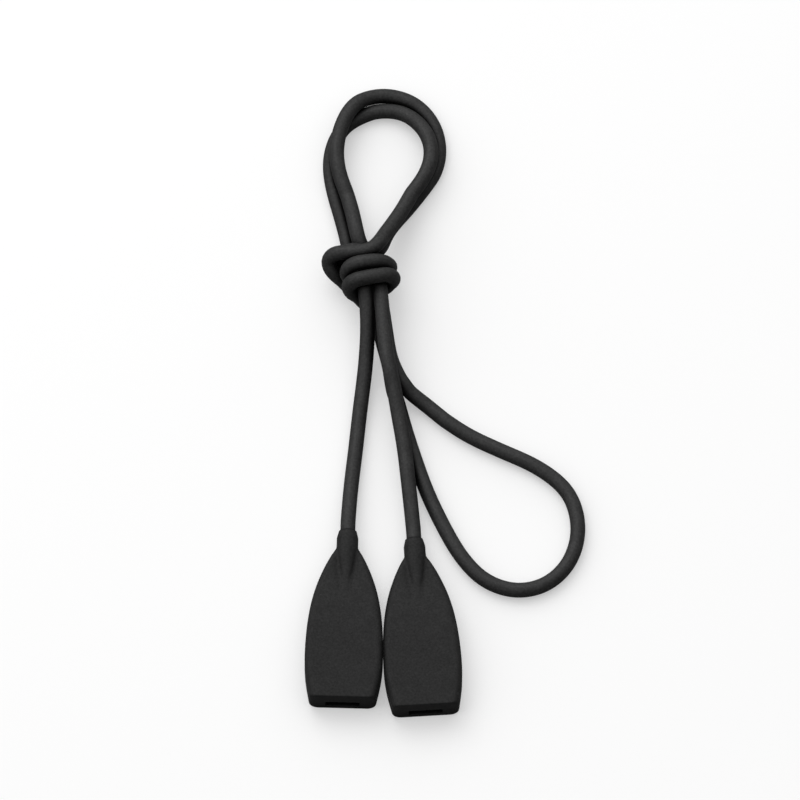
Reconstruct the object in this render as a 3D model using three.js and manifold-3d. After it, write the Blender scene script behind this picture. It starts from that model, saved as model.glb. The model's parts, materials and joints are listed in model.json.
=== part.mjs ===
// Eyewear retainer cord: one soft cord, doubled and tied in an overhand knot, with a moulded grip on each
// end. It lies flat on a table. Units are millimetres, +Z is up, +Y points from the grips to the top loop.
// The real cord is one piece. It is cut into spans here only where it bends, and each cut is a hinge.

import * as THREE from 'three';
import { mergeVertices } from 'three/addons/utils/BufferGeometryUtils.js';
import Module from 'manifold-3d';

const wasm = await Module();
wasm.setup();

// ---- cord ----
const CORD_R = 1.72;
const CORD_SIDES = 8;
const ON_TABLE = CORD_R + 0.05;      // height of the centreline of a strand that lies on the table
const CLEARANCE = 2 * CORD_R + 0.16; // least distance between the centrelines of two strands
const HINGE_GAP = 0.8;               // gap between the two domed ends at a bend
const DOME_R = CORD_R - 0.04;
const FINE_STEP = 1.8;
const LOOP_STEP = 2.6;
const TAIL_STEP = 4;

// ---- settling of the cord into its knot ----
const SAMPLE = 1;
const NEAR_SELF = 6;                 // samples along the cord that never push on each other
const PASSES = 300;
const LAST_PASSES = 60;
const SMOOTHING = 0.3;
const PULL = 0.03;
const PUSH = 0.2;

// ---- grip ----
const GRIP_L = 43.8;
const GRIP_W = 18.4;
const GRIP_T = 7.2;
const GRIP_WIDEST = 33;              // distance of the widest point from the collar's end
const MOUTH_W = 15.6;
const PAST_MOUTH = 4;                // length of plan past the mouth that the side profile cuts off
const GRIP_EDGE = 1.5;               // rounding of the long sides
const SHOULDER_T = 1.5;              // half the thickness beside the collar
const COLLAR_R = 2.55;
const COLLAR_L = 4.4;
const COLLAR_TIP_R = 2.1;            // the collar tapers to this where the cord comes out
const COLLAR_TAPER = 1.8;
const RIDGE_END = 16;
const RIDGE_END_W = 2;
const BORE_L = 9;
const BORE_R = CORD_R + 0.06;
const SLOT_W = 8;
const SLOT_H = 2.2;
const SLOT_L = 24;
const SLOT_Z = 2.4;                  // height of the slot's middle above the grip's underside
const SWELL_START = 3;               // the grip swells from its thin shoulders to its full thickness
const SWELL_END = 27;                // between these two distances from the collar's end
const OVERRUN = 1;                   // how far a solid runs on into or past the one it joins or cuts

const GRIPS = {
  left: { x: -5.2, y: -69.3, turn: -1.6 },
  right: { x: 10.4, y: -71.4, turn: 3.6 },
};

// Where the cord bends. Each of these points is the middle of a gap between two spans.
const BEND = {
  leftNeck: [-5.1, -66, 3.4],
  leftMiddle: [-2.25, -36.5, 2.2],
  leftExit: [-0.8, -12, 8],
  innerLeft: [-8.1, 17.5, 1.8],
  innerRight: [9.9, 17.5, 5.4],
  sideUpper: [17.5, -39.6, 1.8],
  sideLower: [17.5, -67.5, 1.8],
  outerRight: [10.7, 17.5, 1.8],
  outerLeft: [-5.4, 17.5, 4.2],
  rightExit: [2.7, -12, 9],
  rightMiddle: [6.75, -40, 5.6],
  rightNeck: [10.2, -68, 3.4],
};

// The cord from the left grip to the right one, span by span, by the points its centreline passes.
const SPANS = [
  { name: 'left_cord_end', step: TAIL_STEP, from: boreEnd(GRIPS.left), via: [boreMouth(GRIPS.left)] },
  {
    name: 'left_tail_lower',
    step: TAIL_STEP,
    from: BEND.leftNeck,
    via: [[-4.45, -57, 2.3], [-3.45, -48, 1.8], [-2.85, -42, 1.8]],
  },
  {
    name: 'left_tail_upper',
    step: TAIL_STEP,
    from: BEND.leftMiddle,
    via: [[-1.1, -27, 3.6], [-0.5, -18, 6.2]],
  },
  {
    name: 'knot_strand_left',
    step: FINE_STEP,
    from: BEND.leftExit,
    via: [
      [-1.3, -8.5, 9], [-2.3, -5.5, 9], [-3.6, -2.5, 7], [-5.2, 1, 3.4], [-5, 4.5, 2.2], [-6, 9.5, 1.8],
      [-7, 13.5, 1.8],
    ],
  },
  {
    name: 'top_loop_inner',
    step: LOOP_STEP,
    from: BEND.innerLeft,
    via: [
      [-9.3, 22.5, 1.8], [-9.7, 27.5, 1.8], [-9, 31.5, 1.8], [-7.4, 35.3, 1.8], [-4.8, 38.3, 1.8],
      [-1, 40.4, 1.8], [3.5, 41, 1.8], [7.8, 40.2, 2.4], [11.3, 37.2, 3.5], [13.7, 33.6, 4.5],
      [14.8, 29.6, 5], [14.5, 25.6, 5.2], [12.6, 21.2, 5.3],
    ],
  },
  {
    name: 'knot_wrap_lower',
    step: FINE_STEP,
    from: BEND.innerRight,
    via: [
      [7.9, 13, 6.6], [5.4, 8.4, 8], [3.2, 4.6, 9.4], [2, 1.6, 10.4], [0.2, -0.2, 10.9], [-2.4, -0.5, 10.9],
      [-5.4, 0, 10.6], [-9.2, 0.4, 9.6], [-10.9, -0.6, 7.2], [-8.6, -2.8, 5.2], [-6, -4.2, 3.4],
      [-3.6, -5.2, 2], [0.5, -6, 1.9], [4.2, -6.2, 3.5], [4.4, -6.2, 8], [3.9, -6.6, 12], [1, -7.2, 12.9],
      [-1.4, -7.7, 12.9], [-3.6, -7.7, 12], [-4.4, -7.3, 9], [-2.8, -7.6, 6], [-1, -8.2, 4.4],
      [0.2, -9.4, 2.6], [0.9, -12, 1.9], [2.2, -15.5, 1.8], [3.1, -20, 1.8], [4.6, -25, 1.8],
      [5.8, -30, 1.8], [6.6, -35, 1.8], [8, -41, 1.8], [10.5, -49.5, 1.8], [13.5, -58.5, 1.8],
    ],
  },
  {
    name: 'side_loop',
    step: LOOP_STEP,
    from: BEND.sideLower,
    via: [
      [21.5, -75, 1.8], [27, -81.2, 1.8], [34.5, -83.9, 1.8], [41.5, -82.3, 1.8], [47, -76.7, 1.8],
      [49.3, -68, 1.8], [47, -58.5, 1.8], [40, -52.1, 1.8], [30.6, -47.5, 1.8], [23.1, -43.7, 1.8],
    ],
  },
  {
    name: 'knot_wrap_upper',
    step: FINE_STEP,
    from: BEND.sideUpper,
    via: [
      [13.2, -35.8, 1.9], [10.5, -34, 2.6], [7.5, -32.4, 3.6], [5.4, -29.8, 4.6], [4.6, -25.2, 5.2],
      [4, -20.5, 5.4], [3.4, -16, 5.4], [2.8, -10.8, 5.4], [0.8, -6.9, 5.7], [-3.4, -5, 6.2], [-5, -4, 8.5],
      [-4, -4, 11.5], [-2.2, -3.6, 12.9], [1, -3.1, 12.9], [4, -2.8, 11.8], [5, -2.9, 8], [3.5, -2.7, 3.8],
      [0, -2.6, 1.9], [-3.5, -2, 1.8], [-6.6, -1.3, 2.2], [-7, 0, 4.6], [-4.5, 0.2, 6.6], [-1, -0.3, 7.1],
      [1.6, 0.4, 7], [2.8, 2.6, 6.6], [3.5, 6.2, 5.6], [5.6, 10.5, 3.4], [8.4, 14.3, 2],
    ],
  },
  {
    name: 'top_loop_outer',
    step: LOOP_STEP,
    from: BEND.outerRight,
    via: [
      [13.4, 21.2, 1.8], [15.3, 23.8, 1.8], [16.4, 27.5, 1.8], [16.6, 31.3, 1.8], [15.9, 35.3, 1.8],
      [14, 39.2, 1.8], [11.4, 42.1, 1.8], [8, 44, 1.8], [3.5, 44.9, 1.8], [-0.9, 43.7, 2.8],
      [-4.4, 40.2, 4.6], [-6.4, 36.6, 5.2], [-7.8, 32, 5.3], [-8.1, 27, 5.3], [-7.3, 22.5, 4.8],
    ],
  },
  {
    name: 'knot_strand_right',
    step: FINE_STEP,
    from: BEND.outerLeft,
    via: [
      [-4.1, 12.5, 4.9], [-3.3, 8, 5.4], [-2.8, 4.5, 5.2], [-1.6, 1, 3.9], [0.1, -2.5, 7.2],
      [1.2, -5.5, 9.2], [2, -8.5, 9],
    ],
  },
  {
    name: 'right_tail_upper',
    step: TAIL_STEP,
    from: BEND.rightExit,
    via: [[3.2, -18, 8.9], [3.7, -24, 8.7], [5.1, -30, 7.7], [6, -35.5, 6.6]],
  },
  {
    name: 'right_tail_lower',
    step: TAIL_STEP,
    from: BEND.rightMiddle,
    via: [[8.1, -48, 4.9], [9.1, -57, 3.9]],
  },
  { name: 'right_cord_end', step: TAIL_STEP, from: BEND.rightNeck, via: [boreMouth(GRIPS.right)] },
];
const CORD_FINISH = boreEnd(GRIPS.right);

// ---- helpers ----
function gripPoint(grip, along) {
  const turn = THREE.MathUtils.degToRad(grip.turn);
  return [grip.x + along * Math.sin(turn), grip.y - along * Math.cos(turn), GRIP_T / 2];
}

function boreEnd(grip) {
  return gripPoint(grip, BORE_L - 0.4);
}

function boreMouth(grip) {
  return gripPoint(grip, 0.5);
}

function toManifold(geometry) {
  const bare = geometry.clone();
  bare.deleteAttribute('normal');
  bare.deleteAttribute('uv');
  const merged = mergeVertices(bare, 1e-4);
  return new wasm.Manifold(new wasm.Mesh({
    numProp: 3,
    vertProperties: new Float32Array(merged.attributes.position.array),
    triVerts: new Uint32Array(merged.index.array),
  }));
}

function toGeometry(solid) {
  const mesh = solid.getMesh();
  const geometry = new THREE.BufferGeometry();
  geometry.setAttribute('position', new THREE.BufferAttribute(mesh.vertProperties, 3));
  geometry.setIndex(new THREE.BufferAttribute(mesh.triVerts, 1));
  geometry.computeVertexNormals();
  return geometry;
}

// ---- the cord's centreline ----
function sampleCord() {
  const controls = [];
  const firstControl = [];
  for (const span of SPANS) {
    firstControl.push(controls.length);
    controls.push(span.from, ...span.via);
  }
  controls.push(CORD_FINISH);
  const vectors = controls.map((p) => new THREE.Vector3(...p));
  const curve = new THREE.CatmullRomCurve3(vectors, false, 'centripetal');
  const points = [];
  const indexOf = [];
  for (let i = 0; i < controls.length - 1; i++) {
    indexOf.push(points.length);
    const a = curve.points[i];
    const b = curve.points[i + 1];
    const count = Math.max(1, Math.round(a.distanceTo(b) / SAMPLE));
    for (let k = 0; k < count; k++) {
      points.push(curve.getPoint((i + k / count) / (controls.length - 1)));
    }
  }
  indexOf.push(points.length);
  points.push(curve.points[controls.length - 1].clone());
  const starts = firstControl.map((i) => indexOf[i]);
  return { points, starts: [...starts, points.length - 1] };
}

function pushApart(points, moves) {
  const away = new THREE.Vector3();
  for (let i = 0; i < points.length; i++) {
    for (let j = i + NEAR_SELF + 1; j < points.length; j++) {
      away.subVectors(points[i], points[j]);
      const distance = away.length();
      if (distance < CLEARANCE) {
        away.multiplyScalar(PUSH * (CLEARANCE - distance) / distance);
        moves[i].add(away);
        moves[j].sub(away);
      }
    }
  }
}

function easeAndPull(points, drawn, moves) {
  for (let i = 1; i < points.length - 1; i++) {
    const middle = points[i - 1].clone().add(points[i + 1]).multiplyScalar(0.5);
    moves[i].addScaledVector(middle.sub(points[i]), SMOOTHING);
    moves[i].addScaledVector(drawn[i].clone().sub(points[i]), PULL);
  }
}

// Lets the drawn cord settle: strands push each other apart, bends ease, and nothing sinks into the table.
function settle({ points, starts }) {
  const drawn = points.map((p) => p.clone());
  const held = new Set(starts);
  for (let i = 0; i <= starts[1]; i++) {
    held.add(i);
    held.add(points.length - 1 - i);
  }
  for (let pass = 0; pass < PASSES + LAST_PASSES; pass++) {
    const moves = points.map(() => new THREE.Vector3());
    if (pass < PASSES) easeAndPull(points, drawn, moves);
    pushApart(points, moves);
    points.forEach((p, i) => {
      if (held.has(i)) return;
      p.add(moves[i]);
      p.z = Math.max(p.z, ON_TABLE);
    });
  }
  return { points, starts };
}

// ---- cord spans ----
function circle(radius) {
  const shape = new THREE.Shape();
  shape.absarc(0, 0, radius, 0, 2 * Math.PI);
  return shape;
}

function trimmed(points, before, after) {
  const curve = new THREE.CatmullRomCurve3(points, false, 'centripetal');
  curve.arcLengthDivisions = 20 * points.length;
  const length = curve.getLength();
  const kept = points.length - 1;
  const trimmedPoints = [];
  for (let k = 0; k <= kept; k++) {
    const s = before + (length - before - after) * k / kept;
    trimmedPoints.push(curve.getPointAt(Math.min(1, s / length)));
  }
  return new THREE.CatmullRomCurve3(trimmedPoints, false, 'centripetal');
}

function dome(at) {
  const ball = new THREE.SphereGeometry(DOME_R, CORD_SIDES, 8);
  ball.translate(at.x, at.y, at.z);
  return toManifold(ball);
}

function cordSpan(points, step, domedStart, domedEnd) {
  const cut = CORD_R + HINGE_GAP / 2;
  const path = trimmed(points, domedStart ? cut : 0, domedEnd ? cut : 0);
  const tube = new THREE.ExtrudeGeometry(circle(CORD_R), {
    steps: Math.max(2, Math.round(path.getLength() / step)),
    curveSegments: CORD_SIDES / 2,  // three.js walks an arc at twice this number
    extrudePath: path,
  });
  let solid = toManifold(tube);
  if (domedStart) solid = solid.add(dome(path.points[0]));
  if (domedEnd) solid = solid.add(dome(path.points[path.points.length - 1]));
  return toGeometry(solid);
}

// ---- grip, drawn with its mid-plane at z = 0 and its length running from y = 0 to y = -GRIP_L ----
function gripOutline() {
  const half = GRIP_W / 2;
  const mouth = MOUTH_W / 2;
  const shape = new THREE.Shape();
  shape.moveTo(-COLLAR_R, -COLLAR_L);
  shape.bezierCurveTo(-6, -10, -half, -18, -half, -GRIP_WIDEST);
  shape.quadraticCurveTo(-half, -39, -mouth, -GRIP_L);
  shape.lineTo(-mouth, -GRIP_L - PAST_MOUTH);
  shape.lineTo(mouth, -GRIP_L - PAST_MOUTH);
  shape.lineTo(mouth, -GRIP_L);
  shape.quadraticCurveTo(half, -39, half, -GRIP_WIDEST);
  shape.bezierCurveTo(half, -18, 6, -10, COLLAR_R, -COLLAR_L);
  shape.lineTo(-COLLAR_R, -COLLAR_L);
  return shape;
}

// The grip from the side: thin shoulders beside the collar that swell to the full thickness.
function gripSideProfile() {
  const thick = GRIP_T / 2 + 0.05;   // just clear of the plan's flat faces
  const shape = new THREE.Shape();
  shape.moveTo(-GRIP_L, -thick);
  shape.lineTo(-SWELL_END, -thick);
  shape.bezierCurveTo(-16, -thick, -13, -SHOULDER_T, -SWELL_START, -SHOULDER_T);
  shape.lineTo(-SWELL_START, SHOULDER_T);
  shape.bezierCurveTo(-13, SHOULDER_T, -16, thick, -SWELL_END, thick);
  shape.lineTo(-GRIP_L, thick);
  shape.lineTo(-GRIP_L, -thick);
  return shape;
}

function gripBody() {
  const plan = new THREE.ExtrudeGeometry(gripOutline(), {
    depth: GRIP_T - 2 * GRIP_EDGE,
    curveSegments: 9,
    bevelThickness: GRIP_EDGE,
    bevelSize: GRIP_EDGE,
    bevelOffset: -GRIP_EDGE,
    bevelSegments: 4,
  });
  plan.translate(0, 0, GRIP_EDGE - GRIP_T / 2);
  const side = new THREE.ExtrudeGeometry(gripSideProfile(), {
    depth: GRIP_W + 2 * OVERRUN,
    curveSegments: 8,
    bevelEnabled: false,
  });
  side.translate(0, 0, -GRIP_W / 2 - OVERRUN);
  side.applyMatrix4(new THREE.Matrix4().makeBasis(
    new THREE.Vector3(0, 1, 0), new THREE.Vector3(0, 0, 1), new THREE.Vector3(1, 0, 0),
  ));
  return toManifold(plan).intersect(toManifold(side));
}

function collar() {
  const inner = -COLLAR_L - OVERRUN;
  const profile = [[0, inner], [COLLAR_R, inner], [COLLAR_R, -COLLAR_TAPER], [COLLAR_TIP_R, 0], [0, 0]];
  return toManifold(new THREE.LatheGeometry(profile.map((p) => new THREE.Vector2(...p)), 20));
}

// A rib on both faces that carries on from the collar and narrows until it runs out into the broad faces.
function ridge() {
  const edge = 0.7;
  const height = 2 * COLLAR_R;
  const shape = new THREE.Shape();
  shape.moveTo(-COLLAR_R, -COLLAR_L + 0.6);
  shape.lineTo(-RIDGE_END_W / 2, -RIDGE_END);
  shape.lineTo(RIDGE_END_W / 2, -RIDGE_END);
  shape.lineTo(COLLAR_R, -COLLAR_L + 0.6);
  shape.lineTo(-COLLAR_R, -COLLAR_L + 0.6);
  const rib = new THREE.ExtrudeGeometry(shape, {
    depth: height - 2 * edge,
    bevelThickness: edge,
    bevelSize: edge,
    bevelOffset: -edge,
    bevelSegments: 2,
  });
  rib.translate(0, 0, edge - height / 2);
  return toManifold(rib);
}

function gripHoles() {
  const slot = new THREE.BoxGeometry(SLOT_W, SLOT_L + OVERRUN, SLOT_H);
  slot.translate(0, (SLOT_L - OVERRUN) / 2 - GRIP_L, SLOT_Z - GRIP_T / 2);
  const bore = new THREE.CylinderGeometry(BORE_R, BORE_R, BORE_L + OVERRUN, 20);
  bore.translate(0, (OVERRUN - BORE_L) / 2, 0);
  return toManifold(slot).add(toManifold(bore));
}

function gripGeometry(grip) {
  const solid = gripBody().add(collar()).add(ridge()).subtract(gripHoles());
  const geometry = toGeometry(solid);
  geometry.rotateZ(THREE.MathUtils.degToRad(grip.turn));
  geometry.translate(grip.x, grip.y, GRIP_T / 2);
  return geometry;
}

// ---- assembly ----
function soft(color, roughness) {
  return new THREE.MeshStandardMaterial({ color, roughness, metalness: 0 });
}

function add(group, name, geometry, material) {
  const mesh = new THREE.Mesh(geometry, material);
  mesh.name = name;
  group.add(mesh);
}

function buildCord(group) {
  const { points, starts } = settle(sampleCord());
  SPANS.forEach((span, i) => {
    const own = points.slice(starts[i], starts[i + 1] + 1);
    const isLast = i === SPANS.length - 1;
    add(group, span.name, cordSpan(own, span.step, i > 0, !isLast), soft(0x2f2f30, 0.62));
  });
}

function moveToOrigin(group) {
  const box = new THREE.Box3().setFromObject(group);
  const middle = box.getCenter(new THREE.Vector3());
  for (const mesh of group.children) {
    mesh.geometry.translate(-middle.x, -middle.y, -box.min.z);
  }
}

const part = new THREE.Group();
part.name = 'eyewear_retainer_cord';
buildCord(part);
add(part, 'left_grip', gripGeometry(GRIPS.left), soft(0x2c2c2d, 0.72));
add(part, 'right_grip', gripGeometry(GRIPS.right), soft(0x2c2c2d, 0.72));
moveToOrigin(part);

export default part;
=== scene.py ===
# Looks for the eyewear retainer cord: a limp rubber cord with two moulded grips. Its gathered turns look like
# an overhand knot from above, but don't make one. The cord's centreline is drawn in millimetres and settled in
# the same way as in the CAD source. Here it is then skinned as smooth round lengths.
# +Z is up, and +Y points from the grips to the top loop.

import json
import math

import bpy
import numpy as np
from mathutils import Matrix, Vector


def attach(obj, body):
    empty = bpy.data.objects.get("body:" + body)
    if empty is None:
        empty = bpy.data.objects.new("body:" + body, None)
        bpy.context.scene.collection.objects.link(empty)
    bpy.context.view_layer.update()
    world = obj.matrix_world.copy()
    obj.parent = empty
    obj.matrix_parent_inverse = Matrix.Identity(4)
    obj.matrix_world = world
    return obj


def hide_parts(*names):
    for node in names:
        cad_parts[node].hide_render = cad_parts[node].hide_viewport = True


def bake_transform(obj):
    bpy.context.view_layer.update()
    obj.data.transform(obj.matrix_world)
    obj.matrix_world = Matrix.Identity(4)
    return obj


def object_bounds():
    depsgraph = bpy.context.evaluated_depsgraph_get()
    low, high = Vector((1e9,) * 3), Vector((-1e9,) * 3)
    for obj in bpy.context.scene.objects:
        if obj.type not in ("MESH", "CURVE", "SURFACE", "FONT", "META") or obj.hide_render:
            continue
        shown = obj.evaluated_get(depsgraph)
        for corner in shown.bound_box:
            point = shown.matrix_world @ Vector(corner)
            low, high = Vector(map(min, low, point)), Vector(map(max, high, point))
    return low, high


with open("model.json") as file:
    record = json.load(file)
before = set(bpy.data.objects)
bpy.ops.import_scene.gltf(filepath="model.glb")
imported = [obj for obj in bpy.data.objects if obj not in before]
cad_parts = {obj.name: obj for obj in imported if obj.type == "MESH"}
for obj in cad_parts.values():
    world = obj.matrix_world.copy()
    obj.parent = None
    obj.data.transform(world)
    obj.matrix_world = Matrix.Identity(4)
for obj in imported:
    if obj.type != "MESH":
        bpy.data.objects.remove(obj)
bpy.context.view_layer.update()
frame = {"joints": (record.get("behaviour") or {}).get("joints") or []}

MM = 0.001

# ---- cord ----
CORD_R = 1.77
DRAWN_R = 1.72  # of the CAD solids, which keep a little air between strands
ON_TABLE = DRAWN_R + 0.05
CLEARANCE = 2 * DRAWN_R + 0.16
CORD_SIDES = 28
RING_STEP = 0.7
FINE_PER_SAMPLE = 6

# ---- settling, as in the CAD source ----
SAMPLE = 1.0
NEAR_SELF = 6  # samples along the cord that don't push on each other
PASSES = 300
LAST_PASSES = 60  # these only push strands apart
SMOOTHING = 0.3
PULL = 0.03
PUSH = 0.2

# ---- grip ----
GRIP_L = 43.8
GRIP_W = 18.4
GRIP_T = 7.2
GRIP_WIDEST = 33.0
MOUTH_W = 15.6
EDGE_R = 1.6
COLLAR_R = 2.55
COLLAR_L = 4.4
COLLAR_TIP_R = 2.1
COLLAR_TAPER = 1.8
RIDGE_END = 16.0
RIDGE_END_W = 2.0
BORE_L = 9.0
BORE_GAP = 0.03
CORD_SHORT_OF_BORE = 0.4
SLOT_W = 8.0
SLOT_H = 2.2
SLOT_L = 24.0
SLOT_Z = 2.4
SLOT_CORNER = 0.35

# ---- looks ----
CORD_TONE = 0.0185
CORD_GLOSS = 0.32
GRIP_TONE = 0.0105
GRIP_GLOSS = 0.26
CORD_SHADE_REACH = 0.004  # how near another surface has to be for painted shade to darken a crevice, in metres
GRIP_SHADE_REACH = 0.007
RELIEF_DEPTH = 0.00005
SHEEN = 0.04
SHEEN_ROUGHNESS = 0.4
LIGHT_FROM = (-0.45, 0.7, 1)
SKY_LOW = 0.06
SKY_HIGH = 1.35
SKY_FADE_END = -0.2
PANEL_POWER = 33
FLOOR_DROP = 0.00006
FLOOR_BOUNCE = 0.2  # the floor's tone as the object sees it
FLOOR_TONE = 0.62  # and as the camera does
FLOOR_GLOW = 0.38

# in multiples of the object's diagonal
FLOOR_SIZE = 40
PANEL_SIZE = 3
PANEL_DISTANCE = 4

STUB_L = 13.0  # how far a length of cord runs into the knot before the next one takes over

# distances in mm before and after each hinge, passed to blend_at
NECK_REACH = (8, 2.6)
TAIL_REACH = (9, 9)
EXIT_REACH = (2, 9)
TOP_REACH = (8, 8)
SIDE_REACH = (4, 6)

GRIPS = {
    "left": {"x": -5.2, "y": -69.3, "turn": -1.6},
    "right": {"x": 10.4, "y": -71.4, "turn": 3.6},
}


def grip_point(grip, along):
    turn = math.radians(grip["turn"])
    return [grip["x"] + along * math.sin(turn), grip["y"] - along * math.cos(turn), GRIP_T / 2]


def bore_end(grip):
    return grip_point(grip, BORE_L - CORD_SHORT_OF_BORE)


def bore_mouth(grip):
    return grip_point(grip, 0.5)


BEND = {
    "left_neck": [-5.1, -66, 3.4],
    "left_middle": [-2.25, -36.5, 2.2],
    "left_exit": [-0.8, -12, 8],
    "inner_left": [-8.1, 17.5, 1.8],
    "inner_right": [9.9, 17.5, 5.4],
    "side_upper": [17.5, -39.6, 1.8],
    "side_lower": [17.5, -67.5, 1.8],
    "outer_right": [10.7, 17.5, 1.8],
    "outer_left": [-5.4, 17.5, 4.2],
    "right_exit": [2.7, -12, 9],
    "right_middle": [6.75, -40, 5.6],
    "right_neck": [10.2, -68, 3.4],
}

# The cord from the left grip to the right one, span by span. Each span's first point is a bend.
SPANS = [
    ("left_cord_end", bore_end(GRIPS["left"]), [bore_mouth(GRIPS["left"])]),
    ("left_tail_lower", BEND["left_neck"], [[-4.45, -57, 2.3], [-3.45, -48, 1.8], [-2.85, -42, 1.8]]),
    ("left_tail_upper", BEND["left_middle"], [[-1.1, -27, 3.6], [-0.5, -18, 6.2]]),
    (
        "knot_strand_left",
        BEND["left_exit"],
        [
            [-1.3, -8.5, 9], [-2.3, -5.5, 9], [-3.6, -2.5, 7], [-5.2, 1, 3.4], [-5, 4.5, 2.2],
            [-6, 9.5, 1.8], [-7, 13.5, 1.8],
        ],
    ),
    (
        "top_loop_inner",
        BEND["inner_left"],
        [
            [-9.3, 22.5, 1.8], [-9.7, 27.5, 1.8], [-9, 31.5, 1.8], [-7.4, 35.3, 1.8], [-4.8, 38.3, 1.8],
            [-1, 40.4, 1.8], [3.5, 41, 1.8], [7.8, 40.2, 2.4], [11.3, 37.2, 3.5], [13.7, 33.6, 4.5],
            [14.8, 29.6, 5], [14.5, 25.6, 5.2], [12.6, 21.2, 5.3],
        ],
    ),
    (
        "knot_wrap_lower",
        BEND["inner_right"],
        [
            [7.9, 13, 6.6], [5.4, 8.4, 8], [3.2, 4.6, 9.4], [2, 1.6, 10.4], [0.2, -0.2, 10.9],
            [-2.4, -0.5, 10.9], [-5.4, 0, 10.6], [-9.2, 0.4, 9.6], [-10.9, -0.6, 7.2],
            [-8.6, -2.8, 5.2], [-6, -4.2, 3.4], [-3.6, -5.2, 2], [0.5, -6, 1.9], [4.2, -6.2, 3.5],
            [4.4, -6.2, 8], [3.9, -6.6, 12], [1, -7.2, 12.9], [-1.4, -7.7, 12.9], [-3.6, -7.7, 12],
            [-4.4, -7.3, 9], [-2.8, -7.6, 6], [-1, -8.2, 4.4], [0.2, -9.4, 2.6], [0.9, -12, 1.9],
            [2.2, -15.5, 1.8], [3.1, -20, 1.8], [4.6, -25, 1.8], [5.8, -30, 1.8], [6.6, -35, 1.8],
            [8, -41, 1.8], [10.5, -49.5, 1.8], [13.5, -58.5, 1.8],
        ],
    ),
    (
        "side_loop",
        BEND["side_lower"],
        [
            [21.5, -75, 1.8], [27, -81.2, 1.8], [34.5, -83.9, 1.8], [41.5, -82.3, 1.8],
            [47, -76.7, 1.8], [49.3, -68, 1.8], [47, -58.5, 1.8], [40, -52.1, 1.8], [30.6, -47.5, 1.8],
            [23.1, -43.7, 1.8],
        ],
    ),
    (
        "knot_wrap_upper",
        BEND["side_upper"],
        [
            [13.2, -35.8, 1.9], [10.5, -34, 2.6], [7.5, -32.4, 3.6], [5.4, -29.8, 4.6],
            [4.6, -25.2, 5.2], [4, -20.5, 5.4], [3.4, -16, 5.4], [2.8, -10.8, 5.4], [0.8, -6.9, 5.7],
            [-3.4, -5, 6.2], [-5, -4, 8.5], [-4, -4, 11.5], [-2.2, -3.6, 12.9], [1, -3.1, 12.9],
            [4, -2.8, 11.8], [5, -2.9, 8], [3.5, -2.7, 3.8], [0, -2.6, 1.9], [-3.5, -2, 1.8],
            [-6.6, -1.3, 2.2], [-7, 0, 4.6], [-4.5, 0.2, 6.6], [-1, -0.3, 7.1], [1.6, 0.4, 7],
            [2.8, 2.6, 6.6], [3.5, 6.2, 5.6], [5.6, 10.5, 3.4], [8.4, 14.3, 2],
        ],
    ),
    (
        "top_loop_outer",
        BEND["outer_right"],
        [
            [13.4, 21.2, 1.8], [15.3, 23.8, 1.8], [16.4, 27.5, 1.8], [16.6, 31.3, 1.8],
            [15.9, 35.3, 1.8], [14, 39.2, 1.8], [11.4, 42.1, 1.8], [8, 44, 1.8], [3.5, 44.9, 1.8],
            [-0.9, 43.7, 2.8], [-4.4, 40.2, 4.6], [-6.4, 36.6, 5.2], [-7.8, 32, 5.3], [-8.1, 27, 5.3],
            [-7.3, 22.5, 4.8],
        ],
    ),
    (
        "knot_strand_right",
        BEND["outer_left"],
        [
            [-4.1, 12.5, 4.9], [-3.3, 8, 5.4], [-2.8, 4.5, 5.2], [-1.6, 1, 3.9], [0.1, -2.5, 7.2],
            [1.2, -5.5, 9.2], [2, -8.5, 9],
        ],
    ),
    (
        "right_tail_upper",
        BEND["right_exit"],
        [[3.2, -18, 8.9], [3.7, -24, 8.7], [5.1, -30, 7.7], [6, -35.5, 6.6]],
    ),
    ("right_tail_lower", BEND["right_middle"], [[8.1, -48, 4.9], [9.1, -57, 3.9]]),
    ("right_cord_end", BEND["right_neck"], [bore_mouth(GRIPS["right"])]),
]
CORD_FINISH = bore_end(GRIPS["right"])


# ---- the cord's centreline ----
def curve_point(before, a, b, after, t):
    """A point on the centripetal Catmull-Rom curve from a to b."""
    d0, d1, d2 = (np.linalg.norm(q - p) ** 0.5 for p, q in ((before, a), (a, b), (b, after)))
    leave = ((a - before) / d0 - (b - before) / (d0 + d1) + (b - a) / d1) * d1
    arrive = ((b - a) / d1 - (after - a) / (d1 + d2) + (after - b) / d2) * d1
    return (
        a
        + leave * t
        + (-3 * a + 3 * b - 2 * leave - arrive) * t**2
        + (2 * a - 2 * b + leave + arrive) * t**3
    )


def walk(controls, counts):
    """Points along the curve through controls, with counts[i] of them on stretch i, and the last control."""
    padded = [2 * controls[0] - controls[1], *controls, 2 * controls[-1] - controls[-2]]
    points = []
    for i, count in enumerate(counts):
        for k in range(count):
            points.append(curve_point(*padded[i : i + 4], k / count))
    points.append(controls[-1])
    return np.array(points)


def sample_cord():
    controls, first_control = [], []
    for _, start, via in SPANS:
        first_control.append(len(controls))
        controls += [start, *via]
    controls.append(CORD_FINISH)
    controls = [np.array(c, float) for c in controls]
    counts = [
        max(1, math.floor(np.linalg.norm(b - a) / SAMPLE + 0.5))
        for a, b in zip(controls, controls[1:])
    ]
    points = walk(controls, counts)
    starts = [sum(counts[:i]) for i in first_control] + [len(points) - 1]
    return points, starts


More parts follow.
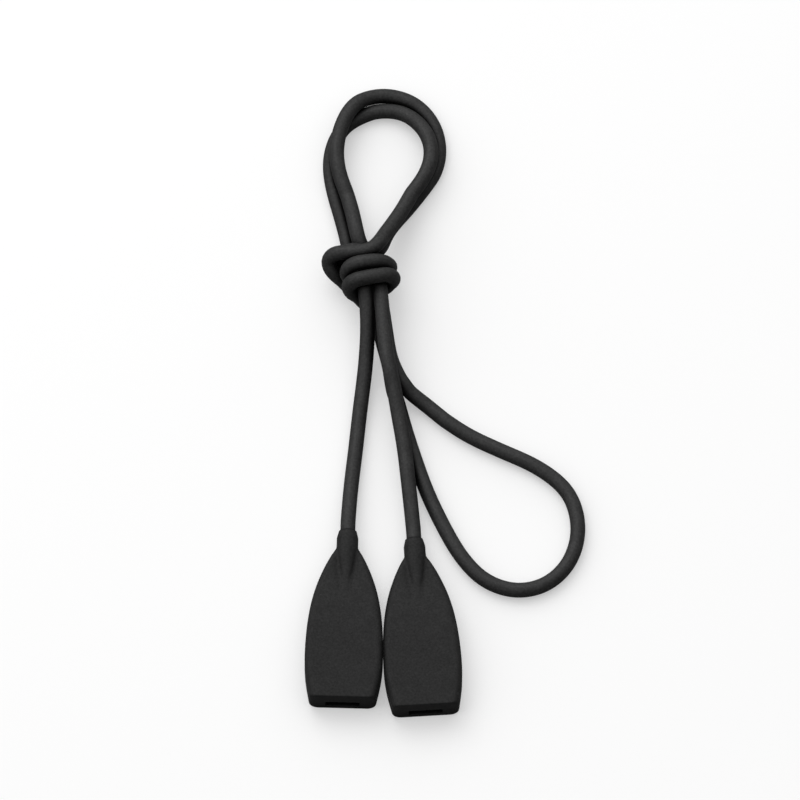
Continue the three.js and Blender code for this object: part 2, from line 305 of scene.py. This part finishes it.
def settle(points, starts):
    """Settles the drawn cord: strands push each other apart, bends ease, and nothing sinks in the table."""
    drawn = points.copy()
    held = np.zeros(len(points), bool)
    held[starts] = True
    held[: starts[1] + 1] = True
    held[len(points) - 1 - starts[1] :] = True
    order = np.arange(len(points))
    apart = np.abs(order[:, None] - order[None, :]) > NEAR_SELF
    for step in range(PASSES + LAST_PASSES):
        moves = np.zeros_like(points)
        if step < PASSES:
            middle = (points[:-2] + points[2:]) / 2
            moves[1:-1] += (middle - points[1:-1]) * SMOOTHING + (drawn[1:-1] - points[1:-1]) * PULL
        squared = (points**2).sum(1)
        near = squared[:, None] + squared[None, :] - 2 * points @ points.T < CLEARANCE**2
        i, j = np.nonzero(near & apart)
        away = points[i] - points[j]
        distance = np.linalg.norm(away, axis=1)
        push = np.clip(PUSH * (CLEARANCE - distance) / distance, 0, None)[:, None] * away
        np.add.at(moves, i, push)
        points = np.where(held[:, None], points, points + moves)
        points[~held, 2] = np.maximum(points[~held, 2], ON_TABLE)
    return points


def resample(points, step):
    """Rings' places, step apart along the curve through points, and each given point's place among them."""
    fine = walk(list(points), [FINE_PER_SAMPLE] * (len(points) - 1))
    along = np.concatenate([[0], np.cumsum(np.linalg.norm(np.diff(fine, axis=0), axis=1))])
    count = round(along[-1] / step)
    even = np.linspace(0, along[-1], count + 1)
    rings = np.stack([np.interp(even, along, fine[:, axis]) for axis in range(3)], axis=1)
    return rings, along[::FINE_PER_SAMPLE] / along[-1] * count


def carried_frames(rings):
    """A direction square to the cord at each ring, carried along so that the skin never twists."""
    tangents = np.gradient(rings, axis=0)
    tangents /= np.linalg.norm(tangents, axis=1)[:, None]
    side = np.cross(tangents[0], [0, 0, 1.0])
    sides = []
    for tangent in tangents:
        side = side - tangent * (side @ tangent)
        side /= np.linalg.norm(side)
        sides.append(side)
    sides = np.array(sides)
    return sides, np.cross(tangents, sides)


# ---- meshes ----
CREASE = math.radians(50)


def add_mesh(name, points, faces, sharp_faces=()):
    mesh = bpy.data.meshes.new(name)
    shifted = (np.array(points) - ORIGIN) * MM
    mesh.from_pydata(shifted.tolist(), [], faces)
    mesh.update()
    smooth = np.ones(len(faces), bool)
    smooth[list(sharp_faces)] = False
    mesh.polygons.foreach_set("use_smooth", smooth)
    mesh.set_sharp_from_angle(angle=CREASE)
    obj = bpy.data.objects.new(name, mesh)
    bpy.context.scene.collection.objects.link(obj)
    return obj


def set_side_normals(mesh, outward, side_faces):
    """Gives the cord's round side its true normals, so that no seam shows where one length meets the next."""
    corners = np.empty(len(mesh.loops), int)
    mesh.loops.foreach_get("vertex_index", corners)
    normals = outward[corners]
    normals[4 * side_faces :] = 0  # a zero leaves the end caps' own normals
    mesh.normals_split_custom_set(normals.tolist())


def add_flow(obj, flow):
    """Keeps with each point where it is in the material, for marks that follow the way it was made."""
    marks = obj.data.attributes.new("flow", "FLOAT_VECTOR", "POINT")
    marks.data.foreach_set("vector", np.ascontiguousarray(flow, dtype=np.float32).ravel())


def ring_faces(ring_count, around):
    faces = []
    for k in range(ring_count - 1):
        for m in range(around):
            n = (m + 1) % around
            a, b = k * around, (k + 1) * around
            faces.append((a + m, a + n, b + n, b + m))
    return faces


def cord_length(name, cord, first, last):
    """A round length of cord from ring first to ring last, closed at both ends."""
    rings, sides, ups = (values[first : last + 1] for values in cord)
    turn = np.linspace(0, 2 * math.pi, CORD_SIDES, endpoint=False)
    ring = np.cos(turn)[None, :, None] * sides[:, None] + np.sin(turn)[None, :, None] * ups[:, None]
    points = (rings[:, None] + CORD_R * ring).reshape(-1, 3)
    faces = ring_faces(len(rings), CORD_SIDES)
    start_cap = tuple(reversed(range(CORD_SIDES)))
    end_cap = tuple(range(len(points) - CORD_SIDES, len(points)))
    obj = add_mesh(name, points, [*faces, start_cap, end_cap], (len(faces), len(faces) + 1))
    set_side_normals(obj.data, ring.reshape(-1, 3), len(faces))
    along = np.repeat(np.arange(first, last + 1) * RING_STEP, CORD_SIDES)
    around = np.tile(turn, len(rings))
    flow = np.stack([CORD_R * np.cos(around), CORD_R * np.sin(around), along], axis=1)
    add_flow(obj, flow)
    return obj


# ---- grip: one closed skin that runs out of the bore, over the collar and body, and into the slot ----
GRIP_AROUND = 168
GRIP_ALONG = 84
SEARCH_STEPS = 40
LIP_R = 0.3
SLOT_LIP_R = 0.25
MOUTH_CORNER = 0.8
TIP_ROUND = 0.15
BORE_LIP = 0.1
RIDGE_FILLET = 0.15
HOLLOW_DEPTH = 0.55  # of the shallow hollow on each side of the ridge
HOLLOW_W = 0.6
SHOULDER_T = 1.5  # half the body's thickness where it comes out of the collar
SWELL_START = 3
SWELL_END = 27
INSIDE_COLLAR = 1.5  # the body narrows over this length as it runs into the collar
INSIDE_SLOPE = 0.8


def bezier(points, t):
    a, b, c, d = points
    return (1 - t) ** 3 * a + 3 * (1 - t) ** 2 * t * b + 3 * (1 - t) * t**2 * c + t**3 * d


def along_bezier(xs, ys, x):
    """The height of the curve with control points (xs, ys) at x."""
    t = np.linspace(0, 1, 200)
    return np.interp(x, bezier(xs, t), bezier(ys, t))


def half_width(along):
    widest, mouth = GRIP_W / 2, MOUTH_W / 2
    widening = along_bezier((COLLAR_L, 10, 18, GRIP_WIDEST), (COLLAR_R, 6, widest, widest), along)
    narrowing = along_bezier((GRIP_WIDEST, 38, 41, GRIP_L), (widest, widest, mouth + 0.5, mouth), along)
    inside_collar = COLLAR_R - INSIDE_SLOPE * np.clip(COLLAR_L - along, 0, INSIDE_COLLAR)
    past_corner = np.clip((along - GRIP_L + MOUTH_CORNER) / MOUTH_CORNER, 0, 1)
    narrowing = narrowing - MOUTH_CORNER * (1 - np.sqrt(1 - past_corner**2))
    return np.where(along < COLLAR_L, inside_collar, np.where(along < GRIP_WIDEST, widening, narrowing))


def half_thickness(along):
    steps = (SWELL_START, 13, 16, SWELL_END)
    heights = (SHOULDER_T, SHOULDER_T, GRIP_T / 2, GRIP_T / 2)
    return along_bezier(steps, heights, np.clip(along, SWELL_START, SWELL_END))


def box_distance(x, z, half_x, half_z, corner):
    """Signed distance from a round-cornered rectangle, negative inside it."""
    over_x = np.abs(x) - half_x + corner
    over_z = np.abs(z) - half_z + corner
    outside = np.hypot(np.maximum(over_x, 0), np.maximum(over_z, 0))
    return outside + np.minimum(np.maximum(over_x, over_z), 0) - corner


def soft_min(a, b, k):
    h = np.clip(0.5 + 0.5 * (b - a) / k, 0, 1)
    return b + (a - b) * h - k * h * (1 - h)


def section_distance(x, z, along):
    """How far outside the grip's cross-section a point is, with the ridge and its hollows blended in."""
    half_x, half_z = half_width(along), half_thickness(along)
    corner = np.minimum(np.minimum(EDGE_R, 0.95 * half_x), 0.8 * half_z)
    body = box_distance(x, z, half_x, half_z, corner)
    taper = np.clip((along - COLLAR_L) / (RIDGE_END - COLLAR_L), 0, 1)
    tip = (COLLAR_R - COLLAR_TIP_R) * np.clip(1 - along / COLLAR_TAPER, 0, 1)
    rib = COLLAR_R + (RIDGE_END_W / 2 - COLLAR_R) * taper - tip
    ridge = box_distance(x, z, rib, COLLAR_R - tip, np.minimum(rib, COLLAR_R - tip) * 0.98)
    faces_up = np.clip(np.abs(z) / half_z, 0, 1) ** 2
    from_middle = (np.abs(x) - rib - HOLLOW_W / 2) / HOLLOW_W
    hollow = HOLLOW_DEPTH * np.sqrt(1 - taper) * faces_up * np.exp(-from_middle**2)
    return soft_min(body + hollow, ridge, RIDGE_FILLET)


def outline(angles, along, inset=0.0):
    """How far the grip's skin is from its axis in each direction, at one distance along the grip."""
    near, far = np.zeros_like(angles), np.full_like(angles, GRIP_W)
    for _ in range(SEARCH_STEPS):
        middle = (near + far) / 2
        inside = section_distance(middle * np.cos(angles), middle * np.sin(angles), along) < -inset
        near, far = np.where(inside, middle, near), np.where(inside, far, middle)
    return near


def spread_angles():
    """Directions that spread a ring's points evenly round the grip's widest section."""
    dense = np.linspace(0, 2 * math.pi, 4001)
    radius = outline(dense, np.float64(GRIP_WIDEST))
    x, z = radius * np.cos(dense), radius * np.sin(dense)
    walked = np.concatenate([[0], np.cumsum(np.hypot(np.diff(x), np.diff(z)))])
    return np.interp(np.arange(GRIP_AROUND) / GRIP_AROUND * walked[-1], walked, dense)


def slot_ring(angles, margin):
    """The slot's outline, as points in the same directions as the grip's rings."""
    half_x, half_z = SLOT_W / 2 + margin, SLOT_H / 2 + margin
    near, far = np.zeros_like(angles), np.full_like(angles, SLOT_W)
    squeezed = np.arctan2(np.sin(angles) * half_z, np.cos(angles) * half_x * GRIP_T / GRIP_W)
    for _ in range(SEARCH_STEPS):
        middle = (near + far) / 2
        x, z = middle * np.cos(squeezed), middle * np.sin(squeezed)
        inside = box_distance(x, z, half_x, half_z, SLOT_CORNER + margin) < 0
        near, far = np.where(inside, middle, near), np.where(inside, far, middle)
    return near * np.cos(squeezed), near * np.sin(squeezed) + SLOT_Z - GRIP_T / 2


def grip_rings():
    """(x across, distance along, z) of every ring, from the bottom of the bore to the rounded lip at the
    mouth.
    """
    angles = spread_angles()
    rings = []

    def round_ring(radius, along):
        rings.append((radius * np.cos(angles), np.full_like(angles, along), radius * np.sin(angles)))

    def outer_ring(along, inset=0.0):
        radius = outline(angles, np.float64(along), inset)
        rings.append((radius * np.cos(angles), np.full_like(angles, along), radius * np.sin(angles)))

    bore = CORD_R + BORE_GAP
    for along in (BORE_L, BORE_L / 2, 0.5):
        round_ring(bore, along)
    for turn in np.linspace(0, math.pi / 2, 5):
        round_ring(bore + BORE_LIP * (1 - math.cos(turn)), 2 * BORE_LIP * (1 - math.sin(turn)))
    for turn in np.linspace(0.15, math.pi / 2, 5):
        outer_ring(TIP_ROUND * (1 - math.sin(turn)), TIP_ROUND * (1 - math.cos(turn)))
    for along in np.linspace(2 * TIP_ROUND, GRIP_L - MOUTH_CORNER, GRIP_ALONG):
        outer_ring(along)
    for along in np.linspace(GRIP_L - MOUTH_CORNER, GRIP_L - LIP_R, 9)[1:-1]:
        outer_ring(along)
    for turn in np.linspace(0.2, math.pi / 2, 6):
        outer_ring(GRIP_L - LIP_R * (1 - math.sin(turn)), LIP_R * (1 - math.cos(turn)))
    return angles, rings


def grip_skin():
    """The rings as (across, along, up) points, with the mouth's face, the slot's lip and its walls added."""
    angles, rings = grip_rings()
    outer_x, _, outer_z = rings[-1]
    rim_x, rim_z = slot_ring(angles, SLOT_LIP_R)
    for share in (0.5, 1.0):
        x = outer_x + (rim_x - outer_x) * share
        z = outer_z + (rim_z - outer_z) * share
        rings.append((x, np.full_like(angles, GRIP_L), z))
    for turn in np.linspace(0.4, math.pi / 2, 4):
        x, z = slot_ring(angles, SLOT_LIP_R * (1 - math.sin(turn)))
        rings.append((x, np.full_like(angles, GRIP_L - SLOT_LIP_R * (1 - math.cos(turn))), z))
    x, z = slot_ring(angles, 0)
    for along in np.linspace(GRIP_L - 2, GRIP_L - SLOT_L, 6):
        rings.append((x, np.full_like(angles, along), z))
    return np.array(rings).transpose(0, 2, 1)


def grip(side):
    place = GRIPS[side]
    skin = grip_skin()
    turn = math.radians(place["turn"])
    across = np.array([math.cos(turn), math.sin(turn), 0])
    along = np.array([math.sin(turn), -math.cos(turn), 0])
    start = np.array([place["x"], place["y"], GRIP_T / 2])
    flat = skin.reshape(-1, 3)
    points = start + flat[:, :1] * across + flat[:, 1:2] * along + flat[:, 2:] * np.array([0, 0, 1.0])
    faces = ring_faces(len(skin), GRIP_AROUND)
    bore_floor = tuple(reversed(range(GRIP_AROUND)))
    slot_floor = tuple(range(len(points) - GRIP_AROUND, len(points)))
    closed = [*faces, bore_floor, slot_floor]
    obj = add_mesh(f"{side}_grip_moulding", points, closed, (len(faces), len(faces) + 1))
    add_flow(obj, flat)
    return obj


# ---- materials ----
class Shading:
    """A new material with short ways of adding the nodes that the rubbers share."""

    def __init__(self, name):
        self.material = bpy.data.materials.new(name)
        self.material.use_nodes = True
        self.nodes = self.material.node_tree.nodes
        self.links = self.material.node_tree.links
        self.shader = self.nodes["Principled BSDF"]
        self.flow = self.nodes.new("ShaderNodeAttribute")
        self.flow.attribute_name = "flow"

    def noise(self, scale, detail=3, lengthwise=1.0):
        """Noise with scale features to the millimetre, and lengthwise times that along the cord."""
        spread = self.nodes.new("ShaderNodeVectorMath")
        spread.operation = "MULTIPLY"
        spread.inputs[1].default_value = (1, 1, lengthwise)
        self.links.new(self.flow.outputs["Vector"], spread.inputs[0])
        node = self.nodes.new("ShaderNodeTexNoise")
        node.inputs["Scale"].default_value = scale
        node.inputs["Detail"].default_value = detail
        self.links.new(spread.outputs["Vector"], node.inputs["Vector"])
        return node.outputs["Fac"]

    def ramp(self, value, from_low, from_high, low, high):
        node = self.nodes.new("ShaderNodeMapRange")
        for socket, number in zip(node.inputs[1:5], (from_low, from_high, low, high)):
            socket.default_value = number
        self.links.new(value, node.inputs["Value"])
        return node.outputs["Result"]

    def combine(self, operation, a, b):
        node = self.nodes.new("ShaderNodeMath")
        node.operation = operation
        for socket, value in zip(node.inputs, (a, b)):
            if isinstance(value, (int, float)):
                socket.default_value = value
            else:
                self.links.new(value, socket)
        return node.outputs["Value"]

    # painted shade: ambient occlusion, darker where other surfaces are near
    def painted_crevice_shade(self, reach):
        node = self.nodes.new("ShaderNodeAmbientOcclusion")
        node.samples = 8
        node.inputs["Distance"].default_value = reach
        return node.outputs["AO"]

    def edges(self):
        return self.nodes.new("ShaderNodeNewGeometry").outputs["Pointiness"]

    def relief(self, height, strength, normal=None):
        node = self.nodes.new("ShaderNodeBump")
        node.inputs["Strength"].default_value = strength
        node.inputs["Distance"].default_value = RELIEF_DEPTH
        self.links.new(height, node.inputs["Height"])
        if normal:
            self.links.new(normal, node.inputs["Normal"])
        return node.outputs["Normal"]

    def finish(self, tone, roughness, normal):
        grey = self.nodes.new("ShaderNodeCombineColor")
        for socket in grey.inputs[:3]:
            self.links.new(tone, socket)
        self.links.new(grey.outputs["Color"], self.shader.inputs["Base Color"])
        self.links.new(roughness, self.shader.inputs["Roughness"])
        self.links.new(normal, self.shader.inputs["Normal"])
        return self.material


def rubber_tone(made, tone, reach):
    """Cloudy dark grey, darkened by painted shade where other surfaces are near, and paler on specks of dust;
    and that painted shade.
    """
    clouds = made.ramp(made.noise(0.35, 4), 0.3, 0.7, 0.8 * tone, 1.2 * tone)
    bloom = made.ramp(made.noise(1.9, 3), 0.3, 0.7, 0.55, 1.45)
    # painted shade in crevices and gaps, multiplied into the colour
    shade = made.ramp(made.painted_crevice_shade(reach), 0.25, 0.95, 0.05, 1)
    dust = made.ramp(made.noise(2.2, 2), 0.68, 0.76, 0, 1.2 * tone)
    shaded = made.combine("MULTIPLY", made.combine("MULTIPLY", clouds, bloom), shade)
    return made.combine("ADD", shaded, dust), shade


def set_gloss(made, shade, gloss):
    # the painted shade dims the gloss as well
    made.links.new(made.combine("MULTIPLY", shade, gloss), made.shader.inputs["Specular IOR Level"])
    made.shader.inputs["Sheen Weight"].default_value = SHEEN
    made.shader.inputs["Sheen Roughness"].default_value = SHEEN_ROUGHNESS


def cord_rubber():
    """Extruded: fine lines run along it, under a soft sheen."""
    made = Shading("cord_rubber")
    tone, shade = rubber_tone(made, CORD_TONE, CORD_SHADE_REACH)
    set_gloss(made, shade, CORD_GLOSS)
    lines = made.noise(3.5, 2, lengthwise=0.02)
    skin = made.noise(2.6, 3)
    roughness = made.ramp(lines, 0.3, 0.7, 0.5, 0.62)
    return made.finish(tone, roughness, made.relief(skin, 0.45, made.relief(lines, 0.35)))


def grip_rubber():
    """Moulded against a spark-eroded tool, so it has an even fine grain, and paler along its convex edges,
    partly from wear and partly as a painted highlight.
    """
    made = Shading("grip_rubber")
    tone, shade = rubber_tone(made, GRIP_TONE, GRIP_SHADE_REACH)
    # paler on convex edges: partly wear, partly a painted highlight where edges catch the light
    tone = made.combine("MULTIPLY", tone, made.ramp(made.edges(), 0.52, 0.62, 1, 1.8))
    set_gloss(made, shade, GRIP_GLOSS)
    grain = made.noise(3.2, 3)
    roughness = made.ramp(grain, 0.3, 0.7, 0.62, 0.76)
    return made.finish(tone, roughness, made.relief(grain, 0.7))


# ---- the object ----
def joint_origin():
    """Where the CAD frame's origin is in the drawing, from the bend that the left tail sways about."""
    sway = next(j for j in frame["joints"] if j["name"] == "left_tail_sway")
    return np.array(BEND["left_exit"]) - np.array(sway["pos_m"]) / MM


ORIGIN = joint_origin()


def framed(point):
    return Vector((np.array(point, float) - ORIGIN) * MM)


def blend_at(obj, kept, moved, bend, direction, before, after):
    """Bakes obj's placement into its mesh. kept, moved, bend, direction, before and after are not used."""
    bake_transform(obj)


def build_cord(material):
    points, starts = sample_cord()
    rings, ring_of = resample(settle(points, starts), RING_STEP)
    cord = (rings, *carried_frames(rings))
    names = [name for name, _, _ in SPANS]
    bend = {name: round(ring_of[start]) for name, start in zip(names, starts)}
    middle = {
        name: round((ring_of[a] + ring_of[b]) / 2)
        for name, a, b in zip(names, starts, starts[1:])
    }
    stub = round(STUB_L / RING_STEP)

    def length(name, first, last, *stands_for):
        obj = cord_length(name, cord, first, last)
        obj.data.materials.append(material)
        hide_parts(*stands_for)
        return obj

    toward_grips, toward_top, toward_side = (0, -1, 0), (0, 1, 0), (1, 0, 0)

    neck = length("left_neck_cord", 0, middle["left_tail_lower"], "left_cord_end")
    blend_at(neck, "left_lower_tail", "left_end", "left_neck", toward_grips, *NECK_REACH)
    tail = length(
        "left_tail_cord", middle["left_tail_lower"], middle["left_tail_upper"], "left_tail_lower"
    )
    blend_at(tail, "left_upper_tail", "left_lower_tail", "left_middle", toward_grips, *TAIL_REACH)
    leave = length(
        "left_exit_cord", middle["left_tail_upper"], middle["knot_strand_left"],
        "left_tail_upper", "knot_strand_left",
    )
    blend_at(leave, "knot", "left_upper_tail", "left_exit", toward_grips, *EXIT_REACH)

    inner = length(
        "inner_loop_cord", middle["knot_strand_left"], bend["knot_wrap_lower"] + stub, "top_loop_inner"
    )
    blend_at(inner, "knot", "top_loop", "inner_left", toward_top, *TOP_REACH)
    lower = length(
        "lower_wrap_cord", bend["knot_wrap_lower"] + stub, bend["side_loop"] - stub, "knot_wrap_lower"
    )
    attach(lower, "knot")
    side = length(
        "side_loop_cord", bend["side_loop"] - stub, bend["knot_wrap_upper"] + stub, "side_loop"
    )
    blend_at(side, "knot", "side_loop", "side_upper", toward_side, *SIDE_REACH)
    upper = length(
        "upper_wrap_cord", bend["knot_wrap_upper"] + stub, bend["top_loop_outer"] - stub, "knot_wrap_upper"
    )
    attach(upper, "knot")
    outer = length(
        "outer_loop_cord", bend["top_loop_outer"] - stub, middle["knot_strand_right"], "top_loop_outer"
    )
    blend_at(outer, "knot", "top_loop", "outer_left", toward_top, *TOP_REACH)

    leave = length(
        "right_exit_cord", middle["knot_strand_right"], middle["right_tail_upper"],
        "right_tail_upper", "knot_strand_right",
    )
    blend_at(leave, "knot", "right_upper_tail", "right_exit", toward_grips, *EXIT_REACH)
    tail = length(
        "right_tail_cord", middle["right_tail_upper"], middle["right_tail_lower"], "right_tail_lower"
    )
    blend_at(tail, "right_upper_tail", "right_lower_tail", "right_middle", toward_grips, *TAIL_REACH)
    neck = length("right_neck_cord", middle["right_tail_lower"], len(rings) - 1, "right_cord_end")
    blend_at(neck, "right_lower_tail", "right_end", "right_neck", toward_grips, *NECK_REACH)


def build_grips(material):
    for side in GRIPS:
        obj = grip(side)
        obj.data.materials.append(material)
        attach(obj, f"{side}_end")
        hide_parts(f"{side}_grip")


# ---- floor, light and camera ----
def build_floor(size, height):
    """A pale floor that looks white from the camera and throws little light back up at the object."""
    bpy.ops.mesh.primitive_plane_add(size=FLOOR_SIZE * size, location=(0, 0, height - FLOOR_DROP))
    floor = bpy.context.object
    floor.name = "floor"
    pale = bpy.data.materials.new("pale_floor")
    pale.use_nodes = True
    nodes, links = pale.node_tree.nodes, pale.node_tree.links
    shader = nodes["Principled BSDF"]
    seen = nodes.new("ShaderNodeLightPath").outputs["Is Camera Ray"]
    for socket, unseen_value, seen_value in (
        (shader.inputs["Base Color"], FLOOR_BOUNCE, FLOOR_TONE),
        (shader.inputs["Emission Strength"], 0, FLOOR_GLOW),
    ):
        pick = nodes.new("ShaderNodeMapRange")
        pick.inputs["To Min"].default_value = unseen_value
        pick.inputs["To Max"].default_value = seen_value
        links.new(seen, pick.inputs["Value"])
        links.new(pick.outputs["Result"], socket)
    shader.inputs["Emission Color"].default_value = (1, 1, 1, 1)
    shader.inputs["Roughness"].default_value = 0.9
    shader.inputs["Specular IOR Level"].default_value = 0.1
    floor.data.materials.append(pale)


def build_sky():
    """Soft light from all round, brightest from above and behind."""
    world = bpy.data.worlds.new("studio")
    world.use_nodes = True
    nodes, links = world.node_tree.nodes, world.node_tree.links
    where = nodes.new("ShaderNodeTexCoord")
    toward = nodes.new("ShaderNodeVectorMath")
    toward.operation = "DOT_PRODUCT"
    toward.inputs[1].default_value = Vector(LIGHT_FROM).normalized()
    links.new(where.outputs["Generated"], toward.inputs[0])
    strength = nodes.new("ShaderNodeMapRange")
    strength.inputs["From Min"].default_value = SKY_FADE_END
    strength.inputs["To Min"].default_value = SKY_LOW
    strength.inputs["To Max"].default_value = SKY_HIGH
    links.new(toward.outputs["Value"], strength.inputs["Value"])
    sky = nodes["Background"]
    sky.inputs["Color"].default_value = (1, 1, 1, 1)
    links.new(strength.outputs["Result"], sky.inputs["Strength"])
    bpy.context.scene.world = world


def build_panel(size):
    panel = bpy.data.lights.new("soft_panel", "AREA")
    panel.shape = "DISK"
    panel.size = PANEL_SIZE * size
    panel.energy = PANEL_POWER * size * size
    lamp = bpy.data.objects.new("soft_panel", panel)
    lamp.location = Vector(LIGHT_FROM).normalized() * PANEL_DISTANCE * size
    lamp.rotation_euler = (-lamp.location).to_track_quat("-Z", "Y").to_euler()
    bpy.context.scene.collection.objects.link(lamp)


def build_stage():
    lo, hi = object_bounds()
    size = (hi - lo).length
    build_floor(size, lo.z)
    build_sky()
    build_panel(size)


# the camera stands far off with a long lens, so the view is nearly parallel
VIEW_W = 189.2
VIEW_ELEVATION = 66
LENS = 1000
SENSOR_W = 36
AIM = [7.1, -33.7, 0]


def build_camera():
    data = bpy.data.cameras.new("camera")
    data.lens = LENS
    data.sensor_width = SENSOR_W
    camera = bpy.data.objects.new("camera", data)
    up = math.radians(VIEW_ELEVATION)
    back = Vector((0, -math.cos(up), math.sin(up)))
    distance = VIEW_W * MM * LENS / data.sensor_width
    camera.location = framed(AIM) + back * distance
    camera.rotation_euler = (-back).to_track_quat("-Z", "Y").to_euler()
    data.clip_start, data.clip_end = 0.05, 50
    bpy.context.scene.collection.objects.link(camera)
    bpy.context.scene.camera = camera


build_cord(cord_rubber())
build_grips(grip_rubber())
build_stage()
build_camera()
bpy.context.scene.view_settings.view_transform = "Standard"
